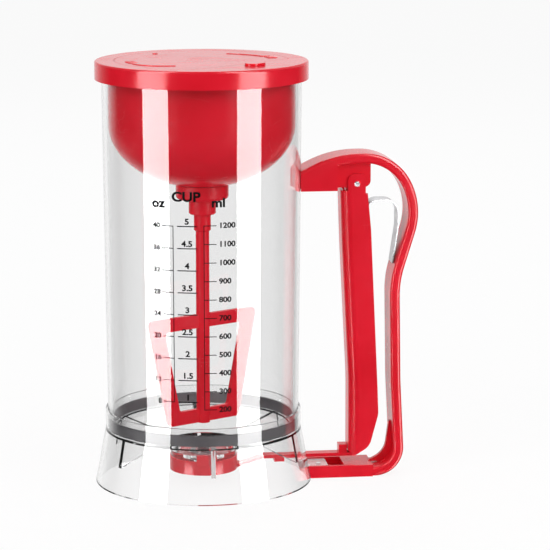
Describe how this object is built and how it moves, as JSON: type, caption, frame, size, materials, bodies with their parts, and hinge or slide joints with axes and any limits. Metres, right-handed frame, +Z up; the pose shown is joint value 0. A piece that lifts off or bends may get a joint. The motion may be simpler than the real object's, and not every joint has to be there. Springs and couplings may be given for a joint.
{
  "type": "pancake batter dispenser",
  "caption": "Clear jar on a flared base with a squeeze-handle slide valve, graduated scale and a lift-out lid that carries a battery driven beater.",
  "frame": {"origin": "centre of the base skirt's rim on the table", "axes": "+Z up along the jar's axis, +X towards the handle"},
  "size_m": [0.1899, 0.1276, 0.2504],
  "materials": {
    "red_plastic": "glossy injection moulded red",
    "clear_plastic": "clear moulded plastic",
    "smoke_silicone": "soft translucent smoke grey silicone",
    "steel": "bright steel",
    "spring_steel": "rolled spring steel",
    "contact_metal": "nickel plated strip",
    "bronze": "sintered bronze",
    "white_plastic": "natural white acetal",
    "motor_steel": "zinc plated can",
    "black_plastic": "matt black moulding",
    "cell_jacket": "plain printed cell jacket"
  },
  "bodies": {
    "container": {"clear_jar": "clear_plastic", "base_skirt": "clear_plastic", "base_gasket": "smoke_silicone", "nozzle_seal": "smoke_silicone", "handle_frame": "red_plastic", "handle_screw": "steel", "pivot_pin": "steel", "return_spring": "spring_steel"},
    "trigger": {"trigger_lever": "red_plastic"},
    "valve": {"slide_valve": "red_plastic"},
    "mixer_head": {"lid_cap": "red_plastic", "lid_gasket": "smoke_silicone", "motor_housing": "red_plastic", "lid_screws": "steel", "neck_collar": "red_plastic", "bearing_bush": "bronze", "shaft_seal": "smoke_silicone", "gearbox": "white_plastic", "motor": "motor_steel", "battery_tray": "black_plastic", "lower_contact_1": "contact_metal", "lower_contact_2": "contact_metal", "battery_1": "cell_jacket", "battery_2": "cell_jacket", "battery_3": "cell_jacket", "battery_4": "cell_jacket", "power_switch": "black_plastic"},
    "beater_drive": {"output_shaft": "steel", "drive_sleeve": "red_plastic", "beater": "red_plastic"},
    "door": {"battery_door": "red_plastic", "upper_contact_1": "contact_metal", "upper_contact_2": "contact_metal"},
    "button": {"power_button": "red_plastic"}
  },
  "joints": [
    {"name": "lid_lift", "type": "slide", "parent": "container", "child": "mixer_head", "axis": [0, 0, 1], "range_m": [0, 0.215]},
    {"name": "beater_spin", "type": "hinge", "parent": "mixer_head", "child": "beater_drive", "pos_m": [0, 0, 0.16], "axis": [0, 0, 1], "continuous": true},
    {"name": "door_lift", "type": "slide", "parent": "mixer_head", "child": "door", "axis": [0, 0, 1], "range_m": [0, 0.04]},
    {"name": "button_press", "type": "slide", "parent": "mixer_head", "child": "button", "axis": [0, 0, -1], "range_m": [0, 0.0012], "stiffness_N_per_m": 400},
    {"name": "trigger_squeeze", "type": "hinge", "parent": "container", "child": "trigger", "pos_m": [0.0896, 0, 0.1763], "axis": [0, -1, 0], "range_deg": [0, 3.11], "stiffness_Nm_per_rad": 5, "springref_deg": -3.44, "deforming": ["return_spring"]},
    {"name": "valve_slide", "type": "slide", "parent": "container", "child": "valve", "axis": [1, 0, 0], "range_m": [0, 0.0088]}
  ],
  "couplings": [
    {"joint": "valve_slide", "follows": "trigger_squeeze", "m_per_rad": 0.16}
  ]
}
